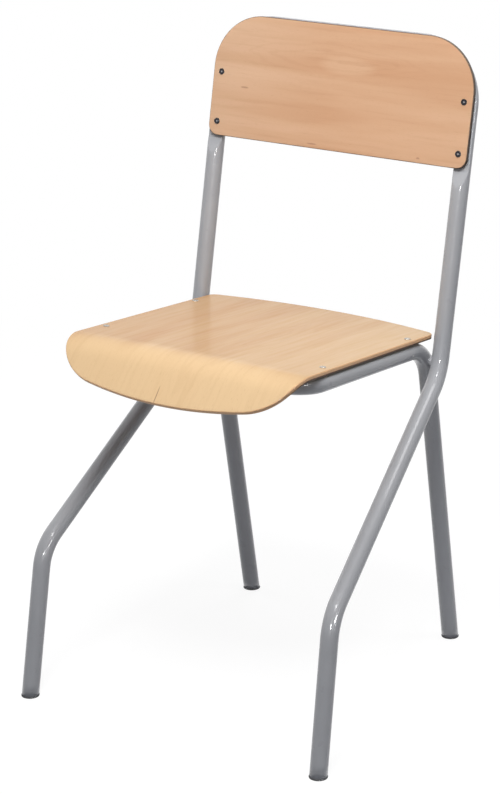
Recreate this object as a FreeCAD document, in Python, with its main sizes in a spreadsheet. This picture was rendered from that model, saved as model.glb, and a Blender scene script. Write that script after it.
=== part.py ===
import FreeCAD
import Part
import math
import os

import Sketcher
from FreeCAD import Placement, Rotation, Vector

# School chair: two bent steel tubes, a bent plywood seat and a plywood backrest.
# Frame: +Z up, the sitter faces -Y, +X to the right seen from the front,
# origin on the floor in the middle of the four feet.

DIMENSIONS = {
    # steel tubes
    "tube_diameter": 22.0,
    "tube_wall": 1.5,
    "weld_gap": 1.5,  # between the two tubes where they cross
    # feet
    "foot_depth": 442.6,  # front foot to rear foot
    "front_foot_spacing": 422.8,
    # front legs and back hoop
    "knee_spacing": 416.4,
    "knee_setback": 31.6,  # behind the front foot
    "knee_height": 191.4,
    "hip_setback": 345.0,  # behind the front foot
    "hip_height": 398.4,
    "upright_spacing": 358.4,
    "upright_lean": 11.0,  # degrees
    "leg_bend_radius": 58.0,  # at knee and hip
    "hoop_corner_radius": 72.0,
    "hoop_height": 406.8,  # along the upright, hip to middle of the top bar
    "flat_offset": 3.5,  # front of the hoop pressed flat, this far before its middle
    "flat_lead": 2.0,  # the flat starts this far below the backrest
    "flat_run": 24.0,  # round tube to flat tube
    # rear legs and seat rails
    "rear_leg_lean": 12.0,  # degrees
    "rail_height": 430.2,  # where rail and rear leg would meet
    "rail_slope": 5.6,  # degrees, rising to the front
    "rear_bend_radius": 56.0,
    "front_bend_radius": 40.0,
    "front_bar_setback": 54.0,  # behind the front foot
    # plywood seat
    "seat_thickness": 6.5,
    "seat_side_clearance": 3.1,  # to each upright
    "seat_flat_length": 329.5,  # bend to middle of the rear edge
    "seat_bend_lead": 1.0,  # the bend starts this far in front of the cross bar
    "seat_bend_radius": 42.0,  # underside
    "seat_bend_angle": 51.5,  # degrees
    "seat_apron_length": 42.0,  # straight part below the bend
    "seat_front_arc_radius": 543.0,
    "seat_front_corner_radius": 70.5,
    "seat_rear_arc_radius": 556.0,
    "seat_rear_corner_radius": 13.5,
    "seat_corner_runout": 0.3,  # corner arcs end this far outside the sides
    # plywood backrest
    "back_thickness": 5.5,
    "back_height": 158.0,
    "back_side_reveal": 2.4,  # rim of the hoop outside the panel
    "back_top_reveal": 1.5,
    "back_top_corner_radius": 68.0,
    "back_low_corner_radius": 14.0,
    "paint_gap": 0.1,  # between panels and tubes
    # blind rivets
    "rivet_diameter": 4.0,
    "rivet_clearance": 0.1,  # on the diameter, in its holes
    "rivet_head_diameter": 8.0,
    "rivet_head_height": 1.4,
    "rivet_head_rim": 0.5,
    "rivet_crown_diameter": 4.6,
    "rivet_bulb_diameter": 5.6,
    "rivet_bulb_length": 3.0,
    "rivet_bulb_taper": 0.6,
    "mandrel_diameter": 2.2,
    "mandrel_clearance": 0.1,  # on the diameter
    "mandrel_recess": 0.5,  # stem broken off below the head's top
    "mandrel_head_diameter": 3.7,
    "mandrel_head_length": 2.0,
    "seat_rivet_front_margin": 5.0,  # from the rail's front bend
    "seat_rivet_front_inset": 2.0,  # inside the rail's middle
    "seat_rivet_rear_margin": 8.0,  # from the rail's rear bend
    "back_rivet_inset": 3.5,  # inside the tube's middle
    "back_rivet_low": 18.2,  # above the panel's lower edge
    "back_rivet_high": 82.0,
    # foot plugs
    "plug_flange_diameter": 23.0,
    "plug_flange_height": 2.0,
    "plug_stem_length": 24.0,
    "plug_stem_wall": 2.0,
    "plug_rib_height": 0.8,
    "plug_rib_pitch": 6.0,
    "plug_rib_width": 2.0,
    "plug_clearance": 0.1,  # rib to bore, on the radius
    # weld nuggets
    "weld_diameter": 20.0,
}

PLUG_RIBS = 3

# Sizes that follow from those above
BORE_RADIUS = "( tube_diameter / 2 - tube_wall )"
BACK_TOP = "( hoop_height + tube_diameter / 2 - back_top_reveal )"
BACK_BOTTOM = f"( {BACK_TOP} - back_height )"
BACK_HALF_WIDTH = "( upright_spacing / 2 + tube_diameter / 2 - back_side_reveal )"
FLAT_START = f"( {BACK_BOTTOM} - flat_lead )"  # along the upright, from the hip
BACK_RIVET_X = "( upright_spacing / 2 - back_rivet_inset )"
RAIL_X = "( upright_spacing / 2 - tube_diameter - weld_gap )"
RAIL_DEPTH = "( foot_depth - front_bar_setback - rail_height * tan( rear_leg_lean * 1 deg ) )"
RAIL_LENGTH = f"( {RAIL_DEPTH} / cos( rail_slope * 1 deg ) )"
RAIL_REAR_BEND = "( rear_bend_radius * tan( ( 90 - rear_leg_lean - rail_slope ) / 2 * 1 deg ) )"
SEAT_WIDTH = "( upright_spacing - tube_diameter - 2 * seat_side_clearance )"
SEAT_RIVETS = {  # across and along the seat, on the right-hand side
    "front": (
        f"( {RAIL_X} - seat_rivet_front_inset )",
        "( seat_bend_lead + front_bend_radius + seat_rivet_front_margin )",
    ),
    "rear": (
        RAIL_X,
        f"( seat_bend_lead + {RAIL_LENGTH} - {RAIL_REAR_BEND} - seat_rivet_rear_margin )",
    ),
}
BACK_RIVETS = {  # across the back and along the upright
    "low": (BACK_RIVET_X, f"( {BACK_BOTTOM} + back_rivet_low )"),
    "high": (BACK_RIVET_X, f"( {BACK_BOTTOM} + back_rivet_high )"),
}
RIVET_HOLE = "( rivet_diameter + rivet_clearance )"
PANEL_GRIP = {
    "seat": "( seat_thickness + paint_gap + tube_wall )",
    "back": "( back_thickness + paint_gap + tube_wall )",
}

SIDES = {"right": 1, "left": -1}
AXIS_X = Vector(1, 0, 0)
AXIS_Z = Vector(0, 0, 1)
ORIGIN, V_AXIS = -1, -2  # references in a sketch
START, END, CENTRE = 1, 2, 3  # points of an edge in a sketch

doc = FreeCAD.newDocument("school_chair")
sheet = doc.addObject("Spreadsheet::Sheet", "Dimensions")
for row, (alias, value) in enumerate(DIMENSIONS.items(), start=1):
    sheet.set(f"A{row}", alias)
    sheet.set(f"B{row}", str(value))
    sheet.setAlias(f"B{row}", alias)
doc.recompute()


def bound(expression):
    # the words of an expression that name a size become cells of the sheet
    words = expression.split()
    return " ".join(f"Dimensions.{word}" if word in DIMENSIONS else word for word in words)


def size(expression):
    return float(sheet.evalExpression(bound(expression)))


# Sketches and bodies


def new_body(label, placement):
    body = doc.addObject("PartDesign::Body", label)
    body.Label = label
    body.Placement = placement
    return body


def new_sketch(body, name, role):
    sketch = body.newObject("Sketcher::SketchObject", name)
    planes = [feature for feature in body.Origin.OriginFeatures if feature.Role == role]
    sketch.AttachmentSupport = [(planes[0], "")]
    sketch.MapMode = "FlatFace"
    return sketch


def add_line(sketch, first, last):
    return sketch.addGeometry(Part.LineSegment(first, last), False)


def add_arc(sketch, centre, radius, first_angle, last_angle):
    circle = Part.Circle(centre, AXIS_Z, radius)
    return sketch.addGeometry(Part.ArcOfCircle(circle, first_angle, last_angle), False)


def join(sketch, kind, *references):
    sketch.addConstraint(Sketcher.Constraint(kind, *references))


def drive(sketch, expression, kind, *references):
    # a dimension of the sketch, bound to the sheet
    index = sketch.addConstraint(Sketcher.Constraint(kind, *references, size(expression)))
    sketch.setExpression(f"Constraints[{index}]", bound(expression))


def drive_point(sketch, across, along, edge, point):
    drive(sketch, across, "DistanceX", ORIGIN, START, edge, point)
    drive(sketch, along, "DistanceY", ORIGIN, START, edge, point)


def drive_angle(sketch, expression, edge):
    constraint = Sketcher.Constraint("Angle", edge, math.radians(size(expression)))
    index = sketch.addConstraint(constraint)
    sketch.setExpression(f"Constraints[{index}]", f"{bound(expression)} * 1 deg")


def turned_body(label, points, placement):
    # solid of revolution about its own Z, from an outline of (radius, height)
    body = new_body(label, placement)
    sketch = new_sketch(body, f"{label}_outline", "XZ_Plane")
    corners = [Vector(size(radius), size(height), 0) for radius, height in points]
    for first, last in zip(corners, corners[1:] + corners[:1]):
        add_line(sketch, first, last)
    for edge, (radius, height) in enumerate(points):
        join(sketch, "Coincident", edge, END, (edge + 1) % len(points), START)
        drive_point(sketch, radius, height, edge, START)
    turned = body.newObject("PartDesign::Revolution", f"{label}_turned")
    turned.Profile = sketch
    turned.ReferenceAxis = (sketch, ["V_Axis"])
    turned.Angle = 360
    return body


def through_pocket(body, name, sketch):
    pocket = body.newObject("PartDesign::Pocket", name)
    pocket.Profile = sketch
    pocket.Type = "ThroughAll"
    pocket.Midplane = True


def rivet_holes(body, name, role, stations):
    sketch = new_sketch(body, f"{name}_sketch", role)
    for side in SIDES.values():
        for across, along in stations.values():
            middle = Vector(size(across) * side, size(along), 0)
            hole = sketch.addGeometry(Part.Circle(middle, AXIS_Z, size(RIVET_HOLE) / 2), False)
            drive(sketch, RIVET_HOLE, "Diameter", hole)
            drive_point(sketch, f"{side} * {across}", along, hole, CENTRE)
    through_pocket(body, name, sketch)


# Solids of the tubes


def add_shape(name, shape):
    feature = doc.addObject("Part::Feature", name)
    feature.Shape = shape
    return feature


def add_sweep(name, path, section):
    sweep = doc.addObject("Part::Sweep", name)
    sweep.Sections = [section]
    sweep.Spine = (path, [f"Edge{number}" for number in range(1, len(path.Shape.Edges) + 1)])
    sweep.Solid = True
    sweep.Frenet = False
    return sweep


def add_circle(name, radius, centre, axis):
    circle = doc.addObject("Part::Circle", name)
    circle.setExpression("Radius", bound(radius))
    circle.Placement = Placement(centre, Rotation(AXIS_Z, axis))
    return circle


def add_union(name, shapes):
    union = doc.addObject("Part::MultiFuse", name)
    union.Shapes = shapes
    return union


def add_cut(name, base, tool):
    cut = doc.addObject("Part::Cut", name)
    cut.Label = name
    cut.Base = base
    cut.Tool = tool
    return cut


def bent_path(corners, radii):
    # straight runs joined by tangent arcs
    edges = []
    start = corners[0]
    for before, corner, after, radius in zip(corners, corners[1:], corners[2:], radii):
        into = (corner - before).normalize()
        out = (after - corner).normalize()
        half_turn = into.getAngle(out) / 2
        reach = radius * math.tan(half_turn)
        first = corner - into * reach
        last = corner + out * reach
        middle = corner + (out - into).normalize() * radius * (1 / math.cos(half_turn) - 1)
        edges.append(Part.LineSegment(start, first).toShape())
        edges.append(Part.Arc(first, middle, last).toShape())
        start = last
    edges.append(Part.LineSegment(start, corners[-1]).toShape())
    return Part.Wire(edges)


def mirrored(point, side):
    return Vector(point.x * side, point.y, point.z)


# Corners of the bent tubes on the right-hand side

half_depth = size("foot_depth / 2")
front_foot = Vector(size("front_foot_spacing / 2"), -half_depth, 0)
knee = Vector(size("knee_spacing / 2"), size("knee_setback") - half_depth, size("knee_height"))
hip = Vector(size("upright_spacing / 2"), size("hip_setback") - half_depth, size("hip_height"))

rail_x = size(RAIL_X)
front_bar_y = size("front_bar_setback") - half_depth
rail_rise = size(f"{RAIL_DEPTH} * tan( rail_slope * 1 deg )")
rear_foot = Vector(rail_x, half_depth, 0)
rail_rear = Vector(rail_x, front_bar_y + size(RAIL_DEPTH), size("rail_height"))
rail_front = Vector(rail_x, front_bar_y, size("rail_height") + rail_rise)


def below_floor(foot, above):
    # the tubes start here and are then cut level with the floor
    return foot - (above - foot).normalize() * size("tube_diameter")


def slab(name, middle, top):
    # everything round a point below a level
    box = doc.addObject("Part::Box", name)
    span = "4 * foot_depth"
    for side_length in ("Length", "Width", "Height"):
        box.setExpression(side_length, bound(span))
    corner = Vector(middle.x, middle.y, top) - Vector(1, 1, 2) * (size(span) / 2)
    box.Placement = Placement(corner, Rotation())
    return box


# The back's own frame: X across, Y backwards, Z along the uprights from the hip
back_turn = Rotation(AXIS_X, -size("upright_lean"))
back_frame = Placement(Vector(0, hip.y, hip.z), back_turn)


def back_point(across, backwards, along):
    return back_frame.multVec(Vector(across, backwards, along))


# The seat's own frame: X across, Y backwards along the rails from the bend, Z out of the seat
seat_turn = Rotation(AXIS_X, -size("rail_slope"))
seat_shift = Vector(0, -size("seat_bend_lead"), size("tube_diameter / 2 + paint_gap"))
seat_origin = rail_front + seat_turn.multVec(seat_shift)
seat_frame = Placement(Vector(0, seat_origin.y, seat_origin.z), seat_turn)

# Places of the rivets, each on its panel's outer face with its own Z pointing out of the face
rivet_places = {}
back_face_y = size("- 1 * ( flat_offset + paint_gap + back_thickness )")
for word, side in SIDES.items():
    for station, (across, along) in SEAT_RIVETS.items():
        place = Vector(size(across) * side, size(along), size("seat_thickness"))
        rivet_places[f"seat_rivet_{station}_{word}"] = seat_frame.multiply(Placement(place, Rotation()))
    for station, (across, along) in BACK_RIVETS.items():
        place = Vector(size(across) * side, back_face_y, size(along))
        outward = Placement(place, Rotation(AXIS_X, 90))
        rivet_places[f"back_rivet_{station}_{word}"] = back_frame.multiply(outward)


# Front legs, uprights and back hoop: one bent tube, pressed flat behind the backrest


def section_wire(inset, pressed, across, along):
    # four arcs of one circle, front, side, back, side; the front one is straight where pressed
    radius = size("tube_diameter / 2") - inset
    depth = size("flat_offset") - inset
    reach = math.sqrt(radius ** 2 - depth ** 2)
    corners = [(-reach, -depth), (reach, -depth), (reach, depth), (-reach, depth)]
    tips = [None if pressed else (0, -radius), (radius, 0), (0, radius), (-radius, 0)]

    edges = []
    for corner, tip, following in zip(corners, tips, corners[1:] + corners[:1]):
        first = back_point(across + corner[0], corner[1], along)
        last = back_point(across + following[0], following[1], along)
        if tip is None:
            edge = Part.LineSegment(first, last)
        else:
            edge = Part.Arc(first, back_point(across + tip[0], tip[1], along), last)
        edges.append(edge.toShape())
    return Part.Wire(edges)


def hoop_solid(name, inset, radius):
    # the whole bent tube as one solid, at its outside or at its bore
    leg_bends = [size("leg_bend_radius")] * 2
    hoop_bends = [size("hoop_corner_radius")] * 2
    flat_start = size(FLAT_START)
    round_end = size(f"{FLAT_START} - flat_run")
    pieces = []
    for word, side in SIDES.items():
        end = mirrored(below_floor(front_foot, knee), side)
        turn = mirrored(knee, side)
        corners = [end, turn, mirrored(hip, side), back_point(hip.x * side, 0, round_end)]
        path = add_shape(f"{name}_{word}_leg_path", bent_path(corners, leg_bends))
        section = add_circle(f"{name}_{word}_leg_section", radius, end, turn - end)
        pieces.append(add_sweep(f"{name}_{word}_leg", path, section))
        round_wire = section_wire(inset, False, hip.x * side, round_end)
        flat_wire = section_wire(inset, True, hip.x * side, flat_start)
        pressed = Part.makeLoft([round_wire, flat_wire], True)
        pieces.append(add_shape(f"{name}_{word}_pressed", pressed))

    top = size("hoop_height")
    plan = [(hip.x, flat_start), (hip.x, top), (-hip.x, top), (-hip.x, flat_start)]
    corners = [back_point(across, 0, along) for across, along in plan]
    path = add_shape(f"{name}_path", bent_path(corners, hoop_bends))
    section = add_shape(f"{name}_section", section_wire(inset, True, hip.x, flat_start))
    pieces.append(add_sweep(f"{name}_over_top", path, section))
    return add_union(name, pieces)


# Rear legs, seat rails and front cross bar: the second bent tube


def rail_solid(name, radius):
    right = [below_floor(rear_foot, rail_rear), rail_rear, rail_front]
    left = [mirrored(point, -1) for point in reversed(right)]
    bends = [size("rear_bend_radius"), size("front_bend_radius")]
    path = add_shape(f"{name}_path", bent_path(right + left, bends + bends[::-1]))
    section = add_circle(f"{name}_section", radius, right[0], rail_rear - right[0])
    return add_sweep(name, path, section)


def rivet_drills(panel):
    # drills for the rivets' holes in a tube, through its near wall only
    drills = []
    depth = f"( {PANEL_GRIP[panel]} + tube_wall )"
    for name, placement in rivet_places.items():
        if name.startswith(panel):
            drill = doc.addObject("Part::Cylinder", f"{name}_drill")
            drill.setExpression("Radius", bound(f"{RIVET_HOLE} / 2"))
            drill.setExpression("Height", bound(depth))
            drill.Placement = placement.multiply(Placement(Vector(0, 0, -size(depth)), Rotation()))
            drills.append(drill)
    return add_union(f"{panel}_rivet_drills", drills)


hoop_outside = hoop_solid("hoop_outside", 0, "tube_diameter / 2")
hoop_bore = hoop_solid("hoop_bore", size("tube_wall"), BORE_RADIUS)
hoop_pipe = add_cut("hoop_pipe", hoop_outside, hoop_bore)
hoop_level = add_cut("hoop_level", hoop_pipe, slab("hoop_floor", Vector(), size("plug_flange_height")))
hoop_tube = add_cut("back_and_front_leg_tube", hoop_level, rivet_drills("back"))

rail_outside = rail_solid("rail_outside", "tube_diameter / 2")
rail_bore = rail_solid("rail_bore", BORE_RADIUS)
rail_pipe = add_cut("rail_pipe", rail_outside, rail_bore)
rail_level = add_cut("rail_level", rail_pipe, slab("rail_floor", Vector(), size("plug_flange_height")))
rail_tube = add_cut("seat_and_rear_leg_tube", rail_level, rivet_drills("seat"))
doc.recompute()


# Weld nuggets in the grooves where the two tubes pass each other


def weld_nugget(word):
    leg_line = doc.getObject(f"hoop_outside_{word}_leg_path").Shape
    rail_line = doc.getObject("rail_outside_path").Shape
    nearest = leg_line.distToShape(rail_line)[1][0]
    nugget = doc.addObject("Part::Sphere", f"weld_{word}_blank")
    nugget.setExpression("Radius", bound("weld_diameter / 2"))
    nugget.Placement = Placement((nearest[0] + nearest[1]) / 2, Rotation(AXIS_Z, AXIS_X))
    leg = doc.getObject(f"hoop_outside_{word}_leg")
    return add_cut(f"weld_{word}", add_cut(f"weld_{word}_beside_leg", nugget, leg), rail_outside)


# Seat: a plywood strip bent down at the front, cut to a rounded outline


def seat_strip(body):
    angle = size("seat_bend_angle * 1 deg / 1 rad")
    radius = size("seat_bend_radius")
    thickness = size("seat_thickness")
    length = size("seat_flat_length")
    centre = Vector(0, -radius, 0)
    out_of_bend = Vector(-math.sin(angle), math.cos(angle), 0)
    down_apron = Vector(-math.cos(angle), -math.sin(angle), 0) * size("seat_apron_length")
    low_end = centre + out_of_bend * radius
    top_end = centre + out_of_bend * (radius + thickness)
    bend_angles = (math.pi / 2, math.pi / 2 + angle)

    sketch = new_sketch(body, "seat_profile", "YZ_Plane")
    low_flat = add_line(sketch, Vector(length, 0, 0), Vector(0, 0, 0))
    low_bend = add_arc(sketch, centre, radius, *bend_angles)
    low_apron = add_line(sketch, low_end, low_end + down_apron)
    lip = add_line(sketch, low_end + down_apron, top_end + down_apron)
    top_apron = add_line(sketch, top_end + down_apron, top_end)
    top_bend = add_arc(sketch, centre, radius + thickness, *bend_angles)
    top_flat = add_line(sketch, Vector(0, thickness, 0), Vector(length, thickness, 0))
    rear = add_line(sketch, Vector(length, thickness, 0), Vector(length, 0, 0))

    join(sketch, "Coincident", low_flat, END, ORIGIN, START)
    join(sketch, "Horizontal", low_flat)
    join(sketch, "Tangent", low_flat, END, low_bend, START)
    join(sketch, "Tangent", low_bend, END, low_apron, START)
    join(sketch, "Coincident", low_apron, END, lip, START)
    join(sketch, "Perpendicular", low_apron, lip)
    join(sketch, "Coincident", lip, END, top_apron, START)
    join(sketch, "Tangent", top_apron, END, top_bend, END)
    join(sketch, "Tangent", top_bend, START, top_flat, START)
    join(sketch, "Coincident", top_bend, CENTRE, low_bend, CENTRE)
    join(sketch, "Coincident", top_flat, END, rear, START)
    join(sketch, "Coincident", rear, END, low_flat, START)
    join(sketch, "Vertical", rear)
    drive(sketch, "seat_bend_radius", "Radius", low_bend)
    drive(sketch, "seat_flat_length", "DistanceX", low_flat, END, low_flat, START)
    drive(sketch, "seat_thickness", "DistanceY", rear, END, rear, START)
    drive(sketch, "seat_apron_length", "Distance", low_apron)
    drive_angle(sketch, "seat_bend_angle", low_bend)

    strip = body.newObject("PartDesign::Pad", "seat_strip")
    strip.Profile = sketch
    strip.Midplane = True
    strip.setExpression("Length", bound(SEAT_WIDTH))


def rounded_end(body, name, reach, way):
    # waste outside one end of the seat: a shallow arc with a rounded corner at each side,
    # drawn towards the rear (way 1) or towards the front (way -1)
    half_width = f"( {SEAT_WIDTH} / 2 + seat_corner_runout )"
    arc = size(f"{name}_arc_radius")
    corner = size(f"{name}_corner_radius")
    half = size(half_width)
    arc_y = size(f"{reach} - {name}_arc_radius")
    corner_x = half - corner
    corner_y = arc_y + math.sqrt((arc - corner) ** 2 - corner_x ** 2)
    meet = math.atan2(corner_y - arc_y, corner_x)
    wide = half + corner
    far = size(reach) + corner
    first_end, last_end = (START, END) if way > 0 else (END, START)

    def at(across, along):
        return Vector(across, along * way, 0)

    def turn_arc(across, along, radius, first, last):
        angles = (first, last) if way > 0 else (-last, -first)
        return add_arc(sketch, at(across, along), radius, *angles)

    sketch = new_sketch(body, f"{name}_waste", "XY_Plane")
    right_arc = turn_arc(corner_x, corner_y, corner, 0, meet)
    end_arc = turn_arc(0, arc_y, arc, meet, math.pi - meet)
    left_arc = turn_arc(-corner_x, corner_y, corner, math.pi - meet, math.pi)
    right_step = add_line(sketch, at(half, corner_y), at(wide, corner_y))
    right_side = add_line(sketch, at(wide, corner_y), at(wide, far))
    far_side = add_line(sketch, at(wide, far), at(-wide, far))
    left_side = add_line(sketch, at(-wide, far), at(-wide, corner_y))
    left_step = add_line(sketch, at(-wide, corner_y), at(-half, corner_y))

    join(sketch, "Tangent", right_arc, last_end, end_arc, first_end)
    join(sketch, "Tangent", end_arc, last_end, left_arc, first_end)
    join(sketch, "Coincident", right_arc, first_end, right_step, START)
    for edge in (right_step, right_side, far_side, left_side):
        join(sketch, "Coincident", edge, END, edge + 1, START)
    join(sketch, "Coincident", left_step, END, left_arc, last_end)
    for edge in (right_step, far_side, left_step):
        join(sketch, "Horizontal", edge)
    for edge in (right_side, left_side):
        join(sketch, "Vertical", edge)
    join(sketch, "PointOnObject", right_arc, CENTRE, right_step)
    join(sketch, "PointOnObject", left_arc, CENTRE, left_step)
    join(sketch, "Equal", right_arc, left_arc)
    drive(sketch, f"{name}_corner_radius", "Radius", right_arc)
    drive(sketch, f"{name}_arc_radius", "Radius", end_arc)
    drive_point(sketch, "0", f"{way} * ( {reach} - {name}_arc_radius )", end_arc, CENTRE)
    drive(sketch, half_width, "DistanceX", ORIGIN, START, right_step, START)
    wide_side = f"( {half_width} + {name}_corner_radius )"
    drive_point(sketch, wide_side, f"{way} * ( {reach} + {name}_corner_radius )", far_side, START)
    drive(sketch, f"- 1 * {wide_side}", "DistanceX", ORIGIN, START, far_side, END)
    return sketch


def seat_panel():
    body = new_body("seat_panel", seat_frame)
    seat_strip(body)
    through_pocket(body, "seat_rear_cut", rounded_end(body, "seat_rear", "seat_flat_length", 1))

    front_waste = rounded_end(body, "seat_front", "seat_apron_length", -1)
    apron_turn = Rotation(AXIS_X, size("seat_bend_angle"))
    front_waste.AttachmentOffset = Placement(Vector(0, 0, -size("seat_bend_radius")), apron_turn)
    front_waste.setExpression("AttachmentOffset.Base.z", bound("- 1 * seat_bend_radius"))
    front_waste.setExpression("AttachmentOffset.Rotation.Angle", bound("seat_bend_angle * 1 deg"))
    through_pocket(body, "seat_front_cut", front_waste)

    rivet_holes(body, "seat_rivet_holes", "XY_Plane", SEAT_RIVETS)
    return body


# Backrest: a flat plywood panel that follows the hoop's outline


def backrest_panel():
    body = new_body("backrest_panel", back_frame)
    half, top, bottom = size(BACK_HALF_WIDTH), size(BACK_TOP), size(BACK_BOTTOM)
    large, small = size("back_top_corner_radius"), size("back_low_corner_radius")

    sketch = new_sketch(body, "back_outline", "XZ_Plane")
    sketch.AttachmentOffset = Placement(Vector(0, 0, size("flat_offset + paint_gap")), Rotation())
    sketch.setExpression("AttachmentOffset.Base.z", bound("flat_offset + paint_gap"))
    lower = add_line(sketch, Vector(-half + small, bottom, 0), Vector(half - small, bottom, 0))
    lower_right = add_arc(sketch, Vector(half - small, bottom + small, 0), small, -math.pi / 2, 0)
    right = add_line(sketch, Vector(half, bottom + small, 0), Vector(half, top - large, 0))
    upper_right = add_arc(sketch, Vector(half - large, top - large, 0), large, 0, math.pi / 2)
    upper = add_line(sketch, Vector(half - large, top, 0), Vector(-half + large, top, 0))
    upper_left = add_arc(sketch, Vector(-half + large, top - large, 0), large, math.pi / 2, math.pi)
    left = add_line(sketch, Vector(-half, top - large, 0), Vector(-half, bottom + small, 0))
    lower_left = add_arc(
        sketch, Vector(-half + small, bottom + small, 0), small, math.pi, 3 * math.pi / 2
    )
    for edge in range(lower, lower_left):
        join(sketch, "Tangent", edge, END, edge + 1, START)
    join(sketch, "Tangent", lower_left, END, lower, START)
    for edge in (lower, upper):
        join(sketch, "Horizontal", edge)
    for edge in (right, left):
        join(sketch, "Vertical", edge)
    join(sketch, "Equal", lower_right, lower_left)
    join(sketch, "Equal", upper_right, upper_left)
    drive(sketch, "back_low_corner_radius", "Radius", lower_right)
    drive(sketch, "back_top_corner_radius", "Radius", upper_right)
    drive(sketch, BACK_BOTTOM, "DistanceY", ORIGIN, START, lower, START)
    drive(sketch, BACK_TOP, "DistanceY", ORIGIN, START, upper, START)
    drive(sketch, BACK_HALF_WIDTH, "DistanceX", ORIGIN, START, right, START)
    drive(sketch, f"- 1 * {BACK_HALF_WIDTH}", "DistanceX", ORIGIN, START, left, START)

    board = body.newObject("PartDesign::Pad", "back_board")
    board.Profile = sketch
    board.setExpression("Length", bound("back_thickness"))

    rivet_holes(body, "back_rivet_holes", "XZ_Plane", BACK_RIVETS)
    return body


# Blind rivets: a headed sleeve, clenched inside the tube, and the mandrel stem that stays in it


def rivet_pair(name, placement):
    grip = PANEL_GRIP[name.split("_")[0]]
    # the bulb starts where the tube's round inner wall no longer meets it
    bulb_reach = "( rivet_bulb_diameter / 2 + seat_rivet_front_inset )"
    bulb_drop = f"( {BORE_RADIUS} - sqrt( {BORE_RADIUS} ^ 2 - {bulb_reach} ^ 2 ) )"
    neck = f"- 1 * ( {grip} + {bulb_drop} )"
    bulb = f"- 1 * ( {grip} + {bulb_drop} + rivet_bulb_taper )"
    blind = f"- 1 * ( {grip} + {bulb_drop} + rivet_bulb_taper + rivet_bulb_length )"
    bore = "( mandrel_diameter + mandrel_clearance ) / 2"
    sleeve = [
        (bore, blind),
        ("rivet_bulb_diameter / 2", blind),
        ("rivet_bulb_diameter / 2", bulb),
        ("rivet_diameter / 2", neck),
        ("rivet_diameter / 2", "0"),
        ("rivet_head_diameter / 2", "0"),
        ("rivet_head_diameter / 2", "rivet_head_rim"),
        ("rivet_crown_diameter / 2", "rivet_head_height"),
        (bore, "rivet_head_height"),
    ]
    stem = [
        ("0", f"{blind} - mandrel_head_length"),
        ("mandrel_head_diameter / 2", f"{blind} - mandrel_head_length"),
        ("mandrel_head_diameter / 2", blind),
        ("mandrel_diameter / 2", blind),
        ("mandrel_diameter / 2", "rivet_head_height - mandrel_recess"),
        ("0", "rivet_head_height - mandrel_recess"),
    ]
    return [turned_body(name, sleeve, placement), turned_body(f"{name}_mandrel", stem, placement)]


# Foot plugs: a ribbed hollow stem inside the tube and a flange cut level with the floor


def foot_plug(label, foot, above):
    rib = f"( {BORE_RADIUS} - plug_clearance )"
    stem = f"( {rib} - plug_rib_height )"
    outline = [("0", "- 1 * tube_diameter"), (stem, "- 1 * tube_diameter")]
    for number in range(1, PLUG_RIBS + 1):
        low = f"{number} * plug_rib_pitch"
        high = f"{number} * plug_rib_pitch + plug_rib_width"
        outline += [(stem, low), (rib, low), (rib, high), (stem, high)]
    outline += [
        (stem, "plug_stem_length"),
        (f"{stem} - plug_stem_wall", "plug_stem_length"),
        (f"{stem} - plug_stem_wall", "plug_flange_height + plug_stem_wall"),
        ("0", "plug_flange_height + plug_stem_wall"),
    ]
    placement = Placement(foot, Rotation(AXIS_Z, above - foot))
    shaft = turned_body(f"{label}_shaft", outline, placement)

    reach = "plug_flange_diameter"
    edge = "plug_flange_diameter / 2"
    round_bar = [("0", f"- 1 * {reach}"), (edge, f"- 1 * {reach}"), (edge, reach), ("0", reach)]
    bar = turned_body(f"{label}_bar", round_bar, placement)
    flange = doc.addObject("Part::Common", f"{label}_flange")
    flange.Base = bar
    flange.Tool = slab(f"{label}_top", foot, size("plug_flange_height"))
    whole = add_union(f"{label}_whole", [shaft, flange])
    return add_cut(label, whole, slab(f"{label}_floor", foot, 0))


pieces = [hoop_tube, rail_tube, seat_panel(), backrest_panel()]
for word, side in SIDES.items():
    pieces.append(weld_nugget(word))
    pieces.append(foot_plug(f"front_foot_plug_{word}", mirrored(front_foot, side), mirrored(knee, side)))
    pieces.append(foot_plug(f"rear_foot_plug_{word}", mirrored(rear_foot, side), mirrored(rail_rear, side)))
for name, placement in rivet_places.items():
    pieces += rivet_pair(name, placement)
doc.recompute()

for item in doc.Objects:
    if "Invalid" in item.State or "Error" in item.State:
        raise RuntimeError(f"{item.Name} is {item.State}")
for piece in pieces:
    if piece.Shape.isNull() or not piece.Shape.isValid() or len(piece.Shape.Solids) != 1:
        raise RuntimeError(f"{piece.Label} is not one valid solid")

os.makedirs("parts", exist_ok=True)
for piece in pieces:
    piece.Shape.exportStep(f"parts/{piece.Label}.step")
    print(f"{piece.Label}: {piece.Shape.Volume:.1f} mm3")
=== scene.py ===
import math

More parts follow.
